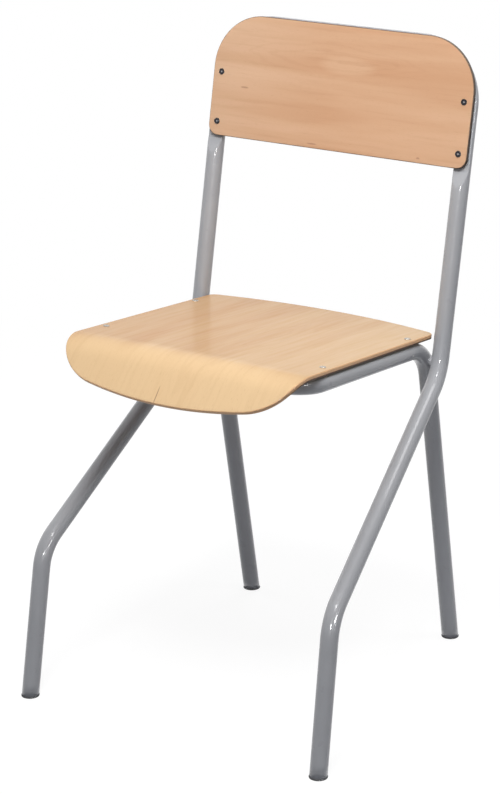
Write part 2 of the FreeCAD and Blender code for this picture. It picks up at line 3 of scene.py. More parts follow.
import bpy
import numpy as np
from mathutils import Matrix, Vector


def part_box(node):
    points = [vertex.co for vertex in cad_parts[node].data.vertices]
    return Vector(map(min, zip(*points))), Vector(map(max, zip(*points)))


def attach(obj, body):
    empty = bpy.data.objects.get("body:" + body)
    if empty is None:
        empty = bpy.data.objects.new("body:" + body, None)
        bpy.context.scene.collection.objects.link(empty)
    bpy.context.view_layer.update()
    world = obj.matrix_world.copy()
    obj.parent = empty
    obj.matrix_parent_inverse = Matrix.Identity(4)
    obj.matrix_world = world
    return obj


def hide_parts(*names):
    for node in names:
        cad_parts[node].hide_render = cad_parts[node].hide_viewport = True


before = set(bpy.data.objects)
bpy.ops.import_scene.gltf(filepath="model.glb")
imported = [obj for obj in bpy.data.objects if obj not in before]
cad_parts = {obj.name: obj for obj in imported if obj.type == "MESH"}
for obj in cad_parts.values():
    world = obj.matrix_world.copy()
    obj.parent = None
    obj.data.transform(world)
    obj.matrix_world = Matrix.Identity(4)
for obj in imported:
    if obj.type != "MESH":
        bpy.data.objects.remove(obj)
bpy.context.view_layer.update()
mm = 0.001
print("frame loaded with", len(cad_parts), "nodes")

# lines of the chair's right-hand side, in millimetres and degrees
chairLines = {
    "tubeRadius": 11.0,
    "tubeWall": 1.5,
    "frontFoot": (211.4, -221.3, 0.0),
    "knee": (208.2, -189.7, 191.4),
    "hip": (179.2, 123.7, 398.4),
    "backLean": 11.0,
    "topBar": 406.8,  # along the upright from the hip
    "rearFoot": (155.7, 221.3, 0.0),
    "rearLegLean": 12.0,
    "railHeight": 430.2,
    "railSlope": 5.6,
    "frontBarY": -167.3,
    "seatLead": 1.0,  # the seat's bend starts this far before the cross bar
    "seatGap": 0.1,  # between the rails and the seat's underside
}
sides = {"right": np.array([1.0, 1.0, 1.0]), "left": np.array([-1.0, 1.0, 1.0])}  # mirror factors


def unit(vector):
    return vector / np.linalg.norm(vector, axis=-1, keepdims=True)


def turnedX(degrees):
    # matrix of a turn about X
    angle = math.radians(degrees)
    cosine, sine = math.cos(angle), math.sin(angle)
    return np.array([[1, 0, 0], [0, cosine, -sine], [0, sine, cosine]])


frontFoot = np.array(chairLines["frontFoot"])
knee = np.array(chairLines["knee"])
hip = np.array(chairLines["hip"])
rearFoot = np.array(chairLines["rearFoot"])
rearLegRun = math.tan(math.radians(chairLines["rearLegLean"]))
railRise = math.tan(math.radians(chairLines["railSlope"]))
railRearY = rearFoot[1] - chairLines["railHeight"] * rearLegRun
railRear = np.array([rearFoot[0], railRearY, chairLines["railHeight"]])
railFrontZ = chairLines["railHeight"] + (railRearY - chairLines["frontBarY"]) * railRise
railFront = np.array([rearFoot[0], chairLines["frontBarY"], railFrontZ])

backTurn = turnedX(-chairLines["backLean"])  # X across, Y backwards, Z along the uprights
backOrigin = np.array([0.0, hip[1], hip[2]])
seatTurn = turnedX(-chairLines["railSlope"])  # X across, Y back along the rails, Z out of the seat
seatLift = chairLines["tubeRadius"] + chairLines["seatGap"]
seatStart = np.array([0.0, -chairLines["seatLead"], seatLift])  # from the cross bar's middle
seatOrigin = seatTurn @ seatStart + [0.0, railFront[1], railFront[2]]


# meshes


def gridQuads(rows, columns, closed):
    # quads of a grid whose columns run round; closed joins the last row to the first
    row = np.arange(rows if closed else rows - 1)[:, None]
    column = np.arange(columns)[None, :]
    here, after = row * columns, (row + 1) % rows * columns
    beside = (column + 1) % columns
    corners = [here + column, here + beside, after + beside, after + column]
    return np.stack(corners, axis=-1).reshape(-1, 4)


def fanTriangles(pole, ring, flip):
    # triangles between a pole and a ring
    beside = np.roll(ring, -1)
    middle = np.full_like(ring, pole)
    order = [middle, beside, ring] if flip else [middle, ring, beside]
    return np.stack(order, axis=-1)


def pieceName(node):
    first, *rest = node.replace("mandrel", "stem").split("_")
    return first + "".join(word.title() for word in rest)


def shellPiece(node, rings, finish, poles=None, notes=None):
    # closed shell in place of a node, from rings (row, column, xyz) in mm: capped by two poles, or
    # joined last ring to first; notes are point attributes that the finish reads
    name = pieceName(node)
    rows, columns = rings.shape[:2]
    points = rings.reshape(-1, 3)
    quads = gridQuads(rows, columns, poles is None)
    triangles = np.zeros((0, 3), int)
    if poles is not None:
        points = np.concatenate([points, np.asarray(poles, float)])
        ring = np.arange(columns)
        first = fanTriangles(rows * columns, ring, True)
        last = fanTriangles(rows * columns + 1, ring + (rows - 1) * columns, False)
        triangles = np.concatenate([first, last])
    corners = np.concatenate([quads.ravel(), triangles.ravel()])
    quadStarts = np.arange(len(quads)) * 4
    triangleStarts = quads.size + np.arange(len(triangles)) * 3
    starts = np.concatenate([quadStarts, triangleStarts])
    mesh = bpy.data.meshes.new(name)
    mesh.vertices.add(len(points))
    mesh.vertices.foreach_set("co", (points * mm).astype(np.float32).ravel())
    mesh.loops.add(len(corners))
    mesh.loops.foreach_set("vertex_index", corners.astype(np.int32))
    mesh.polygons.add(len(starts))
    mesh.polygons.foreach_set("loop_start", starts.astype(np.int32))
    mesh.update(calc_edges=True)
    mesh.validate()
    mesh.polygons.foreach_set("use_smooth", np.ones(len(mesh.polygons), bool))
    for note, values in (notes or {}).items():
        kind, field = ("FLOAT_VECTOR", "vector") if values.ndim == 2 else ("FLOAT", "value")
        attribute = mesh.attributes.new(note, kind, "POINT")
        attribute.data.foreach_set(field, values.astype(np.float32).ravel())
    piece = bpy.data.objects.new(name, mesh)
    bpy.context.scene.collection.objects.link(piece)
    mesh.materials.append(finish)
    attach(piece, "root")
    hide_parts(node)
    return piece


# finishes


def addNode(tree, kind, inputs=None, **fields):
    node = tree.nodes.new(kind)
    for field, value in fields.items():
        setattr(node, field, value)
    for socket, value in (inputs or {}).items():
        if isinstance(value, bpy.types.NodeSocket):
            tree.links.new(value, node.inputs[socket])
        else:
            node.inputs[socket].default_value = value
    return node


def calc(tree, operation, first, second=0.0):
    node = addNode(tree, "ShaderNodeMath", {0: first, 1: second}, operation=operation)
    return node.outputs[0]


def times(tree, first, second):
    return calc(tree, "MULTIPLY", first, second)


def plus(tree, first, second):
    return calc(tree, "ADD", first, second)


def offset(tree, value, middle, half):
    # distance from a middle in half sizes; value in metres, middle and half in millimetres
    return calc(tree, "DIVIDE", calc(tree, "SUBTRACT", value, middle * mm), half * mm)


def mixColour(tree, factor, first, second):
    inputs = {0: factor, 6: first, 7: second}
    return addNode(tree, "ShaderNodeMix", inputs, data_type="RGBA").outputs[2]


def spread(tree, value, low, high, toLow=0.0, toHigh=1.0):
    # smooth step from one range to another
    inputs = {"Value": value, "From Min": low, "From Max": high, "To Min": toLow, "To Max": toHigh}
    return addNode(tree, "ShaderNodeMapRange", inputs, interpolation_type="SMOOTHSTEP").outputs[0]


def stretched(tree, place, scale):
    return addNode(tree, "ShaderNodeMapping", {"Vector": place, "Scale": scale}).outputs[0]


def noise(tree, place, scale, detail=2.0, distortion=0.0):
    inputs = {"Vector": place, "Scale": scale, "Detail": detail, "Distortion": distortion}
    return addNode(tree, "ShaderNodeTexNoise", inputs).outputs[0]


def bump(tree, height, strength, distance):
    inputs = {"Height": height, "Strength": strength, "Distance": distance}
    return addNode(tree, "ShaderNodeBump", inputs).outputs[0]


def objectPlace(tree):
    return addNode(tree, "ShaderNodeTexCoord").outputs["Object"]


def newFinish(name):
    finish = bpy.data.materials.new(name)
    finish.use_nodes = True
    tree = finish.node_tree
    return finish, tree, tree.nodes["Principled BSDF"]


def feed(tree, shader, **links):
    for socket, source in links.items():
        tree.links.new(source, shader.inputs[socket.replace("_", " ")])


def setEven(shader, **values):
    # values that are the same all over
    for socket, value in values.items():
        shader.inputs[socket.replace("_", " ")].default_value = value


paintLook = {
    "light": (0.388, 0.393, 0.410, 1),
    "dark": (0.350, 0.355, 0.372, 1),
    "drift": 9.0,  # noise cells per metre
    "driftShare": 0.7,
    "speckle": 1900.0,
    "speckleShare": 0.3,
    "toneLevels": (0.35, 0.65),
    "chip": (0.06, 0.06, 0.065, 1),
    "chipCells": 34.0,
    "chipEdge": (0.030, 0.022),  # of a cell
    "chipPlaces": 5.0,
    "chipLevels": (0.63, 0.65),
    "peel": 420.0,
    "peelBump": (0.012, 0.0004),  # strength and distance
    "dull": 60.0,
    "dullLevels": (0.3, 0.7),
    "roughness": (0.27, 0.36),
    "specular": 0.2,
    "coat": 0.55,
    "coatRoughness": 0.06,
}


def paintFinish():
    # grey powder coat: slow tone drift, fine speckle, orange-peel bump and a few small chips
    look = paintLook
    finish, tree, shader = newFinish("greyPowderCoat")
    place = objectPlace(tree)
    drift = times(tree, noise(tree, place, look["drift"], detail=3.0), look["driftShare"])
    speckle = times(tree, noise(tree, place, look["speckle"], detail=1.0), look["speckleShare"])
    tone = spread(tree, plus(tree, drift, speckle), *look["toneLevels"])
    colour = mixColour(tree, tone, look["dark"], look["light"])
    cells = addNode(tree, "ShaderNodeTexVoronoi", {"Vector": place, "Scale": look["chipCells"]})
    dots = spread(tree, cells.outputs["Distance"], *look["chipEdge"])
    chosen = spread(tree, noise(tree, place, look["chipPlaces"], detail=1.0), *look["chipLevels"])
    colour = mixColour(tree, times(tree, dots, chosen), colour, look["chip"])
    dull = noise(tree, place, look["dull"], detail=3.0)
    rough = spread(tree, dull, *look["dullLevels"], *look["roughness"])
    peel = bump(tree, noise(tree, place, look["peel"], detail=0.0), *look["peelBump"])
    feed(tree, shader, Base_Color=colour, Roughness=rough, Normal=peel)
    setEven(shader, Specular_IOR_Level=look["specular"])
    setEven(shader, Coat_Weight=look["coat"], Coat_Roughness=look["coatRoughness"])
    return finish


# spots are along and across the grain, half length, half height, in millimetres
backWood = {
    "light": (0.714, 0.464, 0.298, 1),
    "middle": (0.593, 0.336, 0.193, 1),
    "dark": (0.465, 0.232, 0.119, 1),
    # the plies' colours on the bare edge are painted dark: painted shade for the gap between the board
    # and the tubes behind it
    "edgeLight": (0.13, 0.090, 0.066, 1),
    "edgeDark": (0.055, 0.040, 0.032, 1),
    "shadedUnderEdge": (0.035, 0.026, 0.022, 1),
    "underShadeFrom": (0.0, 0.1),  # metres across the grain over which the painted shade on the lower edge sets in
    "pale": (0.689, 0.440, 0.279, 1),
    "patch": (8.0, 366.0, 48.0, 14.0),  # pale patch inside the flame
    "patchShare": 0.6,
    "mark": (0.30, 0.136, 0.084, 1),
    "marks": ((-139.0, 323.6, 7.0, 1.3), (-32.0, 264.0, 9.0, 1.2), (121.0, 264.5, 3.0, 1.3)),
    "markShare": 0.52,
    "flame": (-20.0, 372.0, 150.0, 30.0),
    "driftAxis": 0,  # along the grain
    "drift": (-0.17, 0.0),  # from the palest place to where the tone is deepest, metres
    "driftShare": 0.4,
    "lineShare": 0.20,
    "coatRoughness": 0.22,
}
seatWood = {
    "light": (0.602, 0.408, 0.226, 1),
    "middle": (0.513, 0.290, 0.138, 1),
    "dark": (0.443, 0.242, 0.111, 1),
    # the plies' colours on the bare edge are raised to stand in for light falling on it: painted light
    "edgeLight": (0.95, 0.60, 0.33, 1),
    "edgeDark": (0.70, 0.39, 0.20, 1),
    "shadedUnderEdge": (0.045, 0.022, 0.012, 1),
    "underShadeFrom": (0.150, 0.163),  # painted shade on the two sides alone, in the gap where the edge overhangs the rails
    "pale": (0.759, 0.539, 0.305, 1),
    "patch": (-60.0, 0.0, 75.0, 300.0),  # painted light: the rolled front made paler and yellower where it faces the lamps
    "patchShare": 0.85,
    "mark": (0.35, 0.19, 0.115, 1),
    "marks": ((-72.0, -9.0, 16.0, 0.8),),  # hairline split at the front edge
    "markShare": 0.8,
    "flame": (110.0, 25.0, 210.0, 46.0),
    "driftAxis": 1,  # across the grain
    "drift": (0.17, -0.17),
    "driftShare": 0.55,
    "lineShare": 0.11,
    "coatRoughness": 0.16,
}
beechGrain = {
    # noise cells along, across and through the board, detail, distortion
    "bands": ((2.2, 26.0, 26.0), 3.0, 0.4),
    "lines": ((11.0, 190.0, 60.0), 4.0, 0.3),
    "flecks": ((150.0, 1500.0, 300.0), 2.0, 0.0),
    "wander": ((9.0, 30.0, 9.0), 3.0, 0.0),
    "bandLevels": (0.32, 0.70),
    "lineLevels": (0.46, 0.80),
    "fleckLevels": (0.60, 0.72),
    "fleckShare": 0.26,
    "showFace": (0.4, 0.6),  # depth, 0 underneath to 1 on top, where the show face begins
    "flamePower": 1.6,
    "flameWander": 1.3,
    "flameRings": 19.0,
    "ringLevels": (0.1, 1.0),
    "flameFade": (2.3, 0.6),
    "flameShare": 0.15,
    "patchWaver": 0.5,
    "patchFade": (1.3, 0.5),
    "markSway": 0.006,
    "markFade": (1.0, 0.1),
    "plies": 5,
    "fibres": 700.0,
    "fibreShare": 1.6,
    "layerLevels": (-0.5, 0.5),
    "underShadeDepth": (0.44, 0.26),  # depth over which the painted shade turns the edge dark downwards
    "underShadeShare": 0.95,
    "rimDull": 0.4,
    "dullLevels": (0.3, 0.9),
    "roughness": (0.40, 0.62),
    "lineRelief": 0.6,
    "fleckRelief": -0.4,
    "bump": (0.10, 0.0003),
    "specular": 0.15,
    "coat": 0.24,
}


def ellipse(tree, along, across, spot):
    # squared distance from a spot's middle, 1 at its edge
    run = offset(tree, along, spot[0], spot[2])
    rise = offset(tree, across, spot[1], spot[3])
    return plus(tree, times(tree, run, run), times(tree, rise, rise))


def flameFigure(tree, along, across, wander, spot):
    # wavering rings round a point, pointed along the grain and fading outwards
    grain = beechGrain
    far = calc(tree, "ABSOLUTE", offset(tree, along, spot[0], spot[2]))
    high = calc(tree, "ABSOLUTE", offset(tree, across, spot[1], spot[3]))
    reach = plus(tree, calc(tree, "POWER", far, grain["flamePower"]), high)
    reach = plus(tree, reach, times(tree, wander, grain["flameWander"]))
    rings = calc(tree, "SINE", times(tree, reach, grain["flameRings"]))
    rings = spread(tree, rings, *grain["ringLevels"])
    return times(tree, rings, spread(tree, reach, *grain["flameFade"]))


def woodFinish(name, look):
    # lacquered beech veneer: bands, flame figure, fine lines and ray flecks along the grain, a patch
    # and marks on the show face, layers on the bare edge; painted light on the seat's rolled front and
    # painted shade under the bare edge
    grain = beechGrain
    finish, tree, shader = newFinish(name)
    place = addNode(tree, "ShaderNodeAttribute", attribute_name="grainPlace").outputs["Vector"]
    rim = addNode(tree, "ShaderNodeAttribute", attribute_name="rimShare").outputs["Fac"]
    along, across, depth = addNode(tree, "ShaderNodeSeparateXYZ", {0: place}).outputs

    def grainNoise(cells, detail, distortion):
        return noise(tree, stretched(tree, place, cells), 1.0, detail, distortion)

    bands, lines = grainNoise(*grain["bands"]), grainNoise(*grain["lines"])
    flecks, wander = grainNoise(*grain["flecks"]), grainNoise(*grain["wander"])
    upper = spread(tree, depth, *grain["showFace"])  # the figure and the marks are only on it

    # bands, and a drift of tone over the whole board
    drift = spread(tree, (along, across)[look["driftAxis"]], *look["drift"])
    banding = times(tree, spread(tree, bands, *grain["bandLevels"]), 1 - look["driftShare"])
    deeper = plus(tree, banding, times(tree, drift, look["driftShare"]))
    colour = mixColour(tree, deeper, look["light"], look["middle"])

    # pale patch: wood figure on the backrest, painted light on the seat's rolled front
    waver = times(tree, bands, grain["patchWaver"])
    reach = plus(tree, ellipse(tree, along, across, look["patch"]), waver)
    patch = times(tree, spread(tree, reach, *grain["patchFade"]), upper)
    colour = mixColour(tree, times(tree, patch, look["patchShare"]), colour, look["pale"])

    # fine lines, flame and flecks
    flame = times(tree, flameFigure(tree, along, across, wander, look["flame"]), upper)
    darker = times(tree, spread(tree, lines, *grain["lineLevels"]), look["lineShare"])
    darker = plus(tree, darker, times(tree, flame, grain["flameShare"]))
    flecked = times(tree, spread(tree, flecks, *grain["fleckLevels"]), grain["fleckShare"])
    colour = mixColour(tree, plus(tree, darker, flecked), colour, look["dark"])

    # marks, swaying with the lines
    sway = times(tree, calc(tree, "SUBTRACT", lines, 0.5), grain["markSway"])
    swayed = plus(tree, across, sway)
    for spot in look["marks"]:
        mark = spread(tree, ellipse(tree, along, swayed, spot), *grain["markFade"])
        share = times(tree, times(tree, mark, upper), look["markShare"])
        colour = mixColour(tree, share, colour, look["mark"])

    # layers on the bare edge, with painted shade darkening it towards the underside
    fibres = calc(tree, "SUBTRACT", noise(tree, objectPlace(tree), grain["fibres"]), 0.5)
    layer = calc(tree, "SINE", times(tree, depth, grain["plies"] * 2 * math.pi))
    layer = plus(tree, layer, times(tree, fibres, grain["fibreShare"]))
    layer = spread(tree, layer, *grain["layerLevels"])
    edge = mixColour(tree, layer, look["edgeDark"], look["edgeLight"])
    outer = spread(tree, calc(tree, "ABSOLUTE", across), *look["underShadeFrom"])
    under = times(tree, spread(tree, depth, *grain["underShadeDepth"]), outer)
    edge = mixColour(tree, times(tree, under, grain["underShadeShare"]), edge, look["shadedUnderEdge"])
    colour = mixColour(tree, rim, colour, edge)

    dull = plus(tree, lines, times(tree, rim, grain["rimDull"]))
    rough = spread(tree, dull, *grain["dullLevels"], *grain["roughness"])
    relief = times(tree, lines, grain["lineRelief"])
    relief = plus(tree, relief, times(tree, flecks, grain["fleckRelief"]))
    relief = bump(tree, relief, *grain["bump"])
    feed(tree, shader, Base_Color=colour, Roughness=rough, Normal=relief)
    setEven(shader, Specular_IOR_Level=grain["specular"])
    setEven(shader, Coat_Weight=grain["coat"], Coat_Roughness=look["coatRoughness"])
    return finish


metalLooks = {
    "brightAluminium": {
        "light": (0.66, 0.63, 0.59, 1), "dark": (0.40, 0.38, 0.35, 1), "roughness": 0.22,
    },
    "dullAluminium": {
        "light": (0.080, 0.077, 0.083, 1), "dark": (0.032, 0.030, 0.034, 1), "roughness": 0.2,
    },
    "dullSteel": {
        "light": (0.06, 0.055, 0.055, 1), "dark": (0.025, 0.023, 0.023, 1), "roughness": 0.45,
    },
    "brightSteel": {
        "light": (0.66, 0.66, 0.68, 1), "dark": (0.42, 0.42, 0.44, 1), "roughness": 0.28,
    },
}
metalGrain = {
    "scratches": (900.0, 2600.0, 900.0),  # noise cells per metre
    "dull": 1200.0,
    "levels": (0.3, 0.7),
    "dullShare": 0.16,  # roughness that the dull patches add
    "bump": (0.2, 0.0001),
}


def metalFinish(name, look):
    # turned or drawn metal: fine scratches and dull patches
    finish, tree, shader = newFinish(name)
    place = objectPlace(tree)
    scratches = noise(tree, stretched(tree, place, metalGrain["scratches"]), 1.0, detail=3.0)
    tone = spread(tree, scratches, *metalGrain["levels"])
    colour = mixColour(tree, tone, look["dark"], look["light"])
    dull = noise(tree, place, metalGrain["dull"])
    smooth = look["roughness"]
    rough = spread(tree, dull, *metalGrain["levels"], smooth, smooth + metalGrain["dullShare"])
    relief = bump(tree, scratches, *metalGrain["bump"])
    feed(tree, shader, Base_Color=colour, Roughness=rough, Normal=relief)
    setEven(shader, Metallic=1.0)
    return finish


plugLook = {
    "light": (0.05, 0.05, 0.053, 1),
    "dark": (0.035, 0.035, 0.037, 1),
    "grain": 1500.0,  # noise cells per metre
    "grainLevels": (0.3, 0.7),
    "roughness": (0.45, 0.62),
    "bump": (0.25, 0.0002),
    "scuff": (0.16, 0.16, 0.16, 1),
    "scuffCells": 260.0,
    "scuffLevels": (0.45, 0.7),
    "scuffHeight": 0.0025,  # metres over the floor
}


def plugFinish():
    # moulded dark grey plastic: matt grain with paler scuffs near the floor
    look = plugLook
    finish, tree, shader = newFinish("darkMouldedPlastic")
    place = objectPlace(tree)
    grain = noise(tree, place, look["grain"], detail=3.0)
    tone = spread(tree, grain, *look["grainLevels"])
    colour = mixColour(tree, tone, look["dark"], look["light"])
    height = addNode(tree, "ShaderNodeSeparateXYZ", {0: place}).outputs[2]
    scuff = spread(tree, noise(tree, place, look["scuffCells"], detail=3.0), *look["scuffLevels"])
    scuff = times(tree, spread(tree, height, look["scuffHeight"], 0.0), scuff)
    colour = mixColour(tree, scuff, colour, look["scuff"])
    rough = spread(tree, grain, *look["grainLevels"], *look["roughness"])
    relief = bump(tree, grain, *look["bump"])
    feed(tree, shader, Base_Color=colour, Roughness=rough, Normal=relief)
    return finish


greyPaint = paintFinish()
backVeneer = woodFinish("beechAcross", backWood)
seatVeneer = woodFinish("beechLengthwise", seatWood)
metals = {name: metalFinish(name, look) for name, look in metalLooks.items()}
plugPlastic = plugFinish()
print("finishes ready:", len(bpy.data.materials))


# tubes

tubeShape = {
    "columns": 60,
    "bendStep": 3.0,  # degrees between rings in a bend
    "straightStep": 14.0,  # millimetres between rings on the other runs
    "uprightStep": 1.8,
    "topStep": 10.0,
    "boreThinning": 3,  # one ring in three is kept in the bore
    "legBend": 58.0,
    "hoopCorner": 72.0,
    "rearBend": 56.0,
    "frontBend": 40.0,
    "flatOffset": 3.5,  # pressed flat ahead of the tube's middle
    "pressStart": 232.0,  # along the upright from the hip
    "pressEnd": 256.3,
    "pressSoft": 0.7,
    "endLevel": 2.0,  # tubes are cut level with the floor, on top of the plugs' flanges
}


def tubeEnd(foot, above):
    # where a leg's middle line meets the level of its cut
    axis = unit(above - foot)
    return foot + axis * tubeShape["endLevel"] / axis[2]


def mirrored(points):
    return points + [point * sides["left"] for point in points[::-1]]


def levelled(points, axis, level):
    # points slid along the axis to a level
    return points - axis * ((points[..., 2] - level) / axis[2])[..., None]


def spun(vector, axis, angle):
    # vector turned about an axis: v cos a + (axis x v) sin a + axis (axis . v) (1 - cos a)
    kept = axis * (axis @ vector) * (1 - np.cos(angle))
    return vector * np.cos(angle) + np.cross(axis, vector) * np.sin(angle) + kept


def bentLine(corners, radii, steps):
    # straight runs with tangent arcs at the corners; the two cross directions turn about each arc's
    # axis with the path
    corners = np.asarray(corners, float)
    ways = unit(np.diff(corners, axis=0))
    first = unit(np.cross(ways[0], [1.0, 0.0, 0.0]))
    second = np.cross(ways[0], first)
    centres, firsts, seconds = [corners[:1]], [first[None]], [second[None]]
    start = corners[0]
    for index, way in enumerate(ways):
        bends = index < len(radii)
        end = corners[index + 1]
        if bends:
            wayOut, radius = ways[index + 1], radii[index]
            turn = math.acos(np.clip(way @ wayOut, -1, 1))
            end = end - way * radius * math.tan(turn / 2)
        count = max(2, int(np.linalg.norm(end - start) / steps[index]) + 1)
        share = np.linspace(0, 1, count)[1:, None]
        centres.append(start + (end - start) * share)
        firsts.append(np.repeat(first[None], count - 1, axis=0))
        seconds.append(np.repeat(second[None], count - 1, axis=0))
        start = end
        if bends:
            axis = unit(np.cross(way, wayOut))
            outward = np.cross(way, axis) * radius
            count = int(math.degrees(turn) / tubeShape["bendStep"]) + 1
            angle = np.linspace(0, turn, count + 1)[1:, None]
            centres.append(start - outward + spun(outward, axis, angle))
            firsts.append(spun(first, axis, angle))
            seconds.append(spun(second, axis, angle))
            start, first, second = centres[-1][-1], firsts[-1][-1], seconds[-1][-1]
    return [np.concatenate(rows) for rows in (centres, firsts, seconds)]


def pressed(centres, offsets, inset):
    # front of the hoop: the part of each offset ahead of a plane is held back to it, with a soft edge;
    # the plane ramps up the upright from clear of the tube to the flat
    frontWay = backTurn @ np.array([0.0, -1.0, 0.0])
    height = (centres - backOrigin) @ (backTurn @ np.array([0.0, 0.0, 1.0]))
    start, end, soft = tubeShape["pressStart"], tubeShape["pressEnd"], tubeShape["pressSoft"]
    clear = chairLines["tubeRadius"] - inset + 2 * soft
    flat = tubeShape["flatOffset"] - inset
    share = np.clip((height - start) / (end - start), 0, 1)
    plane = (clear + (flat - clear) * share)[:, None]
    ahead = offsets @ frontWay
    held = (ahead + plane - np.sqrt((ahead - plane) ** 2 + soft ** 2)) / 2
    held = np.where(height[:, None] > start, held, ahead)
    return offsets + (held - ahead)[..., None] * frontWay


def tubePiece(node, line, flattened):
    # circle carried along the bent line: centre + radius (first cos a + second sin a); the outside,
    # then the bore back again
    centres, firsts, seconds = line
    angle = np.linspace(0, 2 * math.pi, tubeShape["columns"], endpoint=False)[None, :, None]
    around = firsts[:, None] * np.cos(angle) + seconds[:, None] * np.sin(angle)
    walls = []
    for inset in (0.0, chairLines["tubeWall"]):
        offsets = around * (chairLines["tubeRadius"] - inset)
        if flattened:
            offsets = pressed(centres, offsets, inset)
        wall = centres[:, None] + offsets
        wall[0] = levelled(wall[0], unit(centres[1] - centres[0]), tubeShape["endLevel"])
        wall[-1] = levelled(wall[-1], unit(centres[-2] - centres[-1]), tubeShape["endLevel"])
        walls.append(wall)
    outside, bore = walls
    last = len(centres) - 1
    kept = np.unique(np.append(np.arange(0, last, tubeShape["boreThinning"]), last))
    rings = np.concatenate([outside, bore[kept[::-1]]])
    shellPiece(node, rings[:, ::-1], greyPaint)


straightStep, uprightStep = tubeShape["straightStep"], tubeShape["uprightStep"]
legBend, hoopCorner = tubeShape["legBend"], tubeShape["hoopCorner"]
hoopTop = backOrigin + backTurn @ np.array([hip[0], 0.0, chairLines["topBar"]])
hoopCorners = mirrored([tubeEnd(frontFoot, knee), knee, hip, hoopTop])
hoopBends = [legBend] * 2 + [hoopCorner] * 2 + [legBend] * 2
hoopMiddle = [uprightStep, tubeShape["topStep"], uprightStep]
hoopLine = bentLine(hoopCorners, hoopBends, [straightStep] * 2 + hoopMiddle + [straightStep] * 2)
tubePiece("back_and_front_leg_tube", hoopLine, True)

rearBend, frontBend = tubeShape["rearBend"], tubeShape["frontBend"]
railCorners = mirrored([tubeEnd(rearFoot, railRear), railRear, railFront])
railLine = bentLine(railCorners, [rearBend, frontBend, frontBend, rearBend], [straightStep] * 5)
tubePiece("seat_and_rear_leg_tube", railLine, False)
print("tubes bent:", len(hoopLine[0]), "and", len(railLine[0]), "rings")


# plywood panels

panelEdge = {"rollRings": 6, "sideRings": 8}  # over an arris and down the edge, both ends counted


def arcPoints(centre, radius, first, last, count):
    # arc between two angles in degrees
    angle = np.radians(np.linspace(first, last, count))
    return np.asarray(centre) + radius * np.stack([np.cos(angle), np.sin(angle)], axis=-1)


def between(first, last, count):
    # straight side without its ends
    first, last = np.asarray(first), np.asarray(last)
    return first + (last - first) * np.linspace(0, 1, count)[1:-1, None]


def panelRings(outline, middle, shape):
    # flat outline to a board: rings grow from the middle to the outline, roll over the arris, go down
    # the edge and back under; gives the place on the unrolled board, the height over its mid-surface
    # and the share of bare edge
    thickness, arris = shape["thickness"], shape["arris"]
    growth = np.linspace(shape["firstRing"], 1, shape["rings"])[:, None, None]
    tangent = np.roll(outline, -1, axis=0) - np.roll(outline, 1, axis=0)
    outward = unit(np.stack([tangent[:, 1], -tangent[:, 0]], axis=-1))
    grown = middle + (outline - outward * arris - middle) * growth
    roll = np.radians(np.linspace(0, 90, panelEdge["rollRings"]))[1:]
    rollInset = arris * (1 - np.sin(roll))
    rollHeight = thickness / 2 - arris * (1 - np.cos(roll))
    sideHeight = np.linspace(rollHeight[-1], -rollHeight[-1], panelEdge["sideRings"])[1:-1]
    insets = np.concatenate([rollInset, np.zeros(len(sideHeight)), rollInset[::-1]])
    rim = outline - outward * insets[:, None, None]
    top, covered = np.full(len(grown), thickness / 2), np.zeros(len(grown))
    flat = np.concatenate([grown, rim, grown[::-1]])
    height = np.concatenate([top, rollHeight, sideHeight, -rollHeight[::-1], -top])
    bare = np.concatenate([covered, np.sqrt(1 - insets / arris), covered])
    columns = np.ones(len(outline))
    return flat, height[:, None] * columns, bare[:, None] * columns


def panelPiece(node, shape, outline, middle, shaped, grainAxis, finish):
    # board of one outline, put in its place by shaped; notes for the finish are metres along and across
    # the grain, depth from 0 underneath to 1 on top, and share of bare edge
    flat, height, bare = panelRings(outline, middle, shape)
    thickness = shape["thickness"]
    flatAll = np.concatenate([flat.reshape(-1, 2), [middle, middle]])
    heightAll = np.append(height, [thickness / 2, -thickness / 2])
    points = shaped(flatAll, heightAll)
    rings, poles = points[:-2].reshape(*flat.shape[:2], 3), points[-2:]
    along, across = flatAll[:, grainAxis] * mm, flatAll[:, 1 - grainAxis] * mm
    grain = np.stack([along, across, heightAll / thickness + 0.5], axis=-1)
    notes = {"grainPlace": grain, "rimShare": np.append(bare, [0.0, 0.0])}
    return shellPiece(node, rings, finish, poles, notes)


backShape = {
    "halfWidth": 187.8,
    "top": 416.3,  # along the upright from the hip
    "bottom": 258.3,
    "topCorner": 68.0,
    "lowCorner": 14.0,
    "thickness": 5.5,
    "backFace": 3.6,  # ahead of the tubes' middle
    "arris": 1.1,
    "rings": 14,
    "firstRing": 0.05,  # share of the way from the middle to the edge
    "topPoints": 48,
    "lowPoints": 24,
    "sidePoints": 40,
}


def backPlaced(flat, height):
    # flat board on the pressed tubes: origin + turn (across, -(back face + half thickness + height), up)
    ahead = backShape["backFace"] + backShape["thickness"] / 2 + height
    local = np.stack([flat[:, 0], -ahead, flat[:, 1]], axis=-1)
    return backOrigin + local @ backTurn.T


def backOutline():
    # rectangle with large upper and small lower corner arcs, anticlockwise from the lower right
    half, top, bottom = backShape["halfWidth"], backShape["top"], backShape["bottom"]
    large, small = backShape["topCorner"], backShape["lowCorner"]
    topPoints, lowPoints = backShape["topPoints"], backShape["lowPoints"]
    points = backShape["sidePoints"]
    parts = [
        arcPoints((half - small, bottom + small), small, -90, 0, lowPoints),
        between((half, bottom + small), (half, top - large), points),
        arcPoints((half - large, top - large), large, 0, 90, topPoints),
        between((half - large, top), (-half + large, top), points),
        arcPoints((-half + large, top - large), large, 90, 180, topPoints),
        between((-half, top - large), (-half, bottom + small), points),
        arcPoints((-half + small, bottom + small), small, 180, 270, lowPoints),
        between((-half + small, bottom), (half - small, bottom), points),
    ]
    return np.concatenate(parts)


